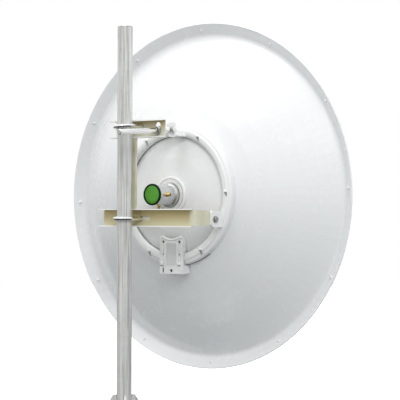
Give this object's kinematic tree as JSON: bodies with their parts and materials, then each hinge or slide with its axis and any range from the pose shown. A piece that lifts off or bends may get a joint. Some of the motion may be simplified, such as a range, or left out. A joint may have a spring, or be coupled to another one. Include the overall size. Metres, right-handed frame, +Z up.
{
  "type": "microwave dish antenna",
  "caption": "Microwave dish antenna: spun reflector on a cast ring and lipped brackets clamped to a footed pole, with a rear feed can, front feed, radio plate and elevation rod.",
  "frame": {"origin": "centre of the underside of the pole's foot plate, on the pole's axis", "axes": "+Z up the pole, +Y the way the dish looks, +X to the right seen from behind the dish"},
  "size_m": [1.0518, 0.6268, 1.2033],
  "materials": {
    "galvanised": "hot dip galvanised",
    "cap_metal": "galvanised cap",
    "passivated": "cream yellow passivated zinc",
    "bright_zinc": "bright zinc plated",
    "dark_steel": "dull dark plated steel",
    "white_coat": "glossy white powder coat",
    "bare_aluminium": "satin grey",
    "green_cap": "moulded protective cap",
    "gold_plate": "gold plated connector",
    "splash_plastic": "pale dielectric head"
  },
  "bodies": {
    "mast": {"foot_plate": "galvanised", "pole": "galvanised", "pole_cap": "cap_metal", "gusset_1": "galvanised", "gusset_2": "galvanised", "gusset_3": "galvanised", "gusset_4": "galvanised"},
    "mount": {"lower_bracket": "passivated", "upper_bracket": "passivated", "spine_bar": "passivated", "strap_lower": "passivated", "strap_upper": "passivated", "u_bolt_lower": "bright_zinc", "u_bolt_upper": "bright_zinc", "u_nut_lower_left": "bright_zinc", "u_nut_lower_right": "bright_zinc", "u_nut_upper_left": "bright_zinc", "u_nut_upper_right": "bright_zinc", "web_nut_rear": "dark_steel", "web_nut_front": "dark_steel", "pivot_bolt_left": "dark_steel", "pivot_bolt_right": "dark_steel"},
    "dish": {"reflector": "white_coat", "mounting_ring": "white_coat", "feed_flange": "white_coat", "feed_can": "bare_aluminium", "feed_cap": "green_cap", "connector_side": "gold_plate", "connector_under": "gold_plate", "feed_pipe": "bare_aluminium", "feed_head": "splash_plastic", "radio_plate": "white_coat", "lug_bolt": "dark_steel"},
    "rod": {"elevation_rod": "dark_steel"}
  },
  "joints": [
    {"name": "azimuth", "type": "hinge", "parent": "mast", "child": "mount", "pos_m": [0, 0, 0.7], "axis": [0, 0, 1], "range_deg": [-60, 60]},
    {"name": "elevation", "type": "hinge", "parent": "mount", "child": "dish", "pos_m": [0.053, 0.125, 0.606], "axis": [1, 0, 0], "range_deg": [-6, 8]},
    {"name": "rod_swivel", "type": "hinge", "parent": "dish", "child": "rod", "pos_m": [0.0883, 0.109, 0.8683], "axis": [1, 0, 0], "range_deg": [-8, 6]}
  ],
  "couplings": [
    {"joint": "rod_swivel", "follows": "elevation", "ratio": -1}
  ]
}
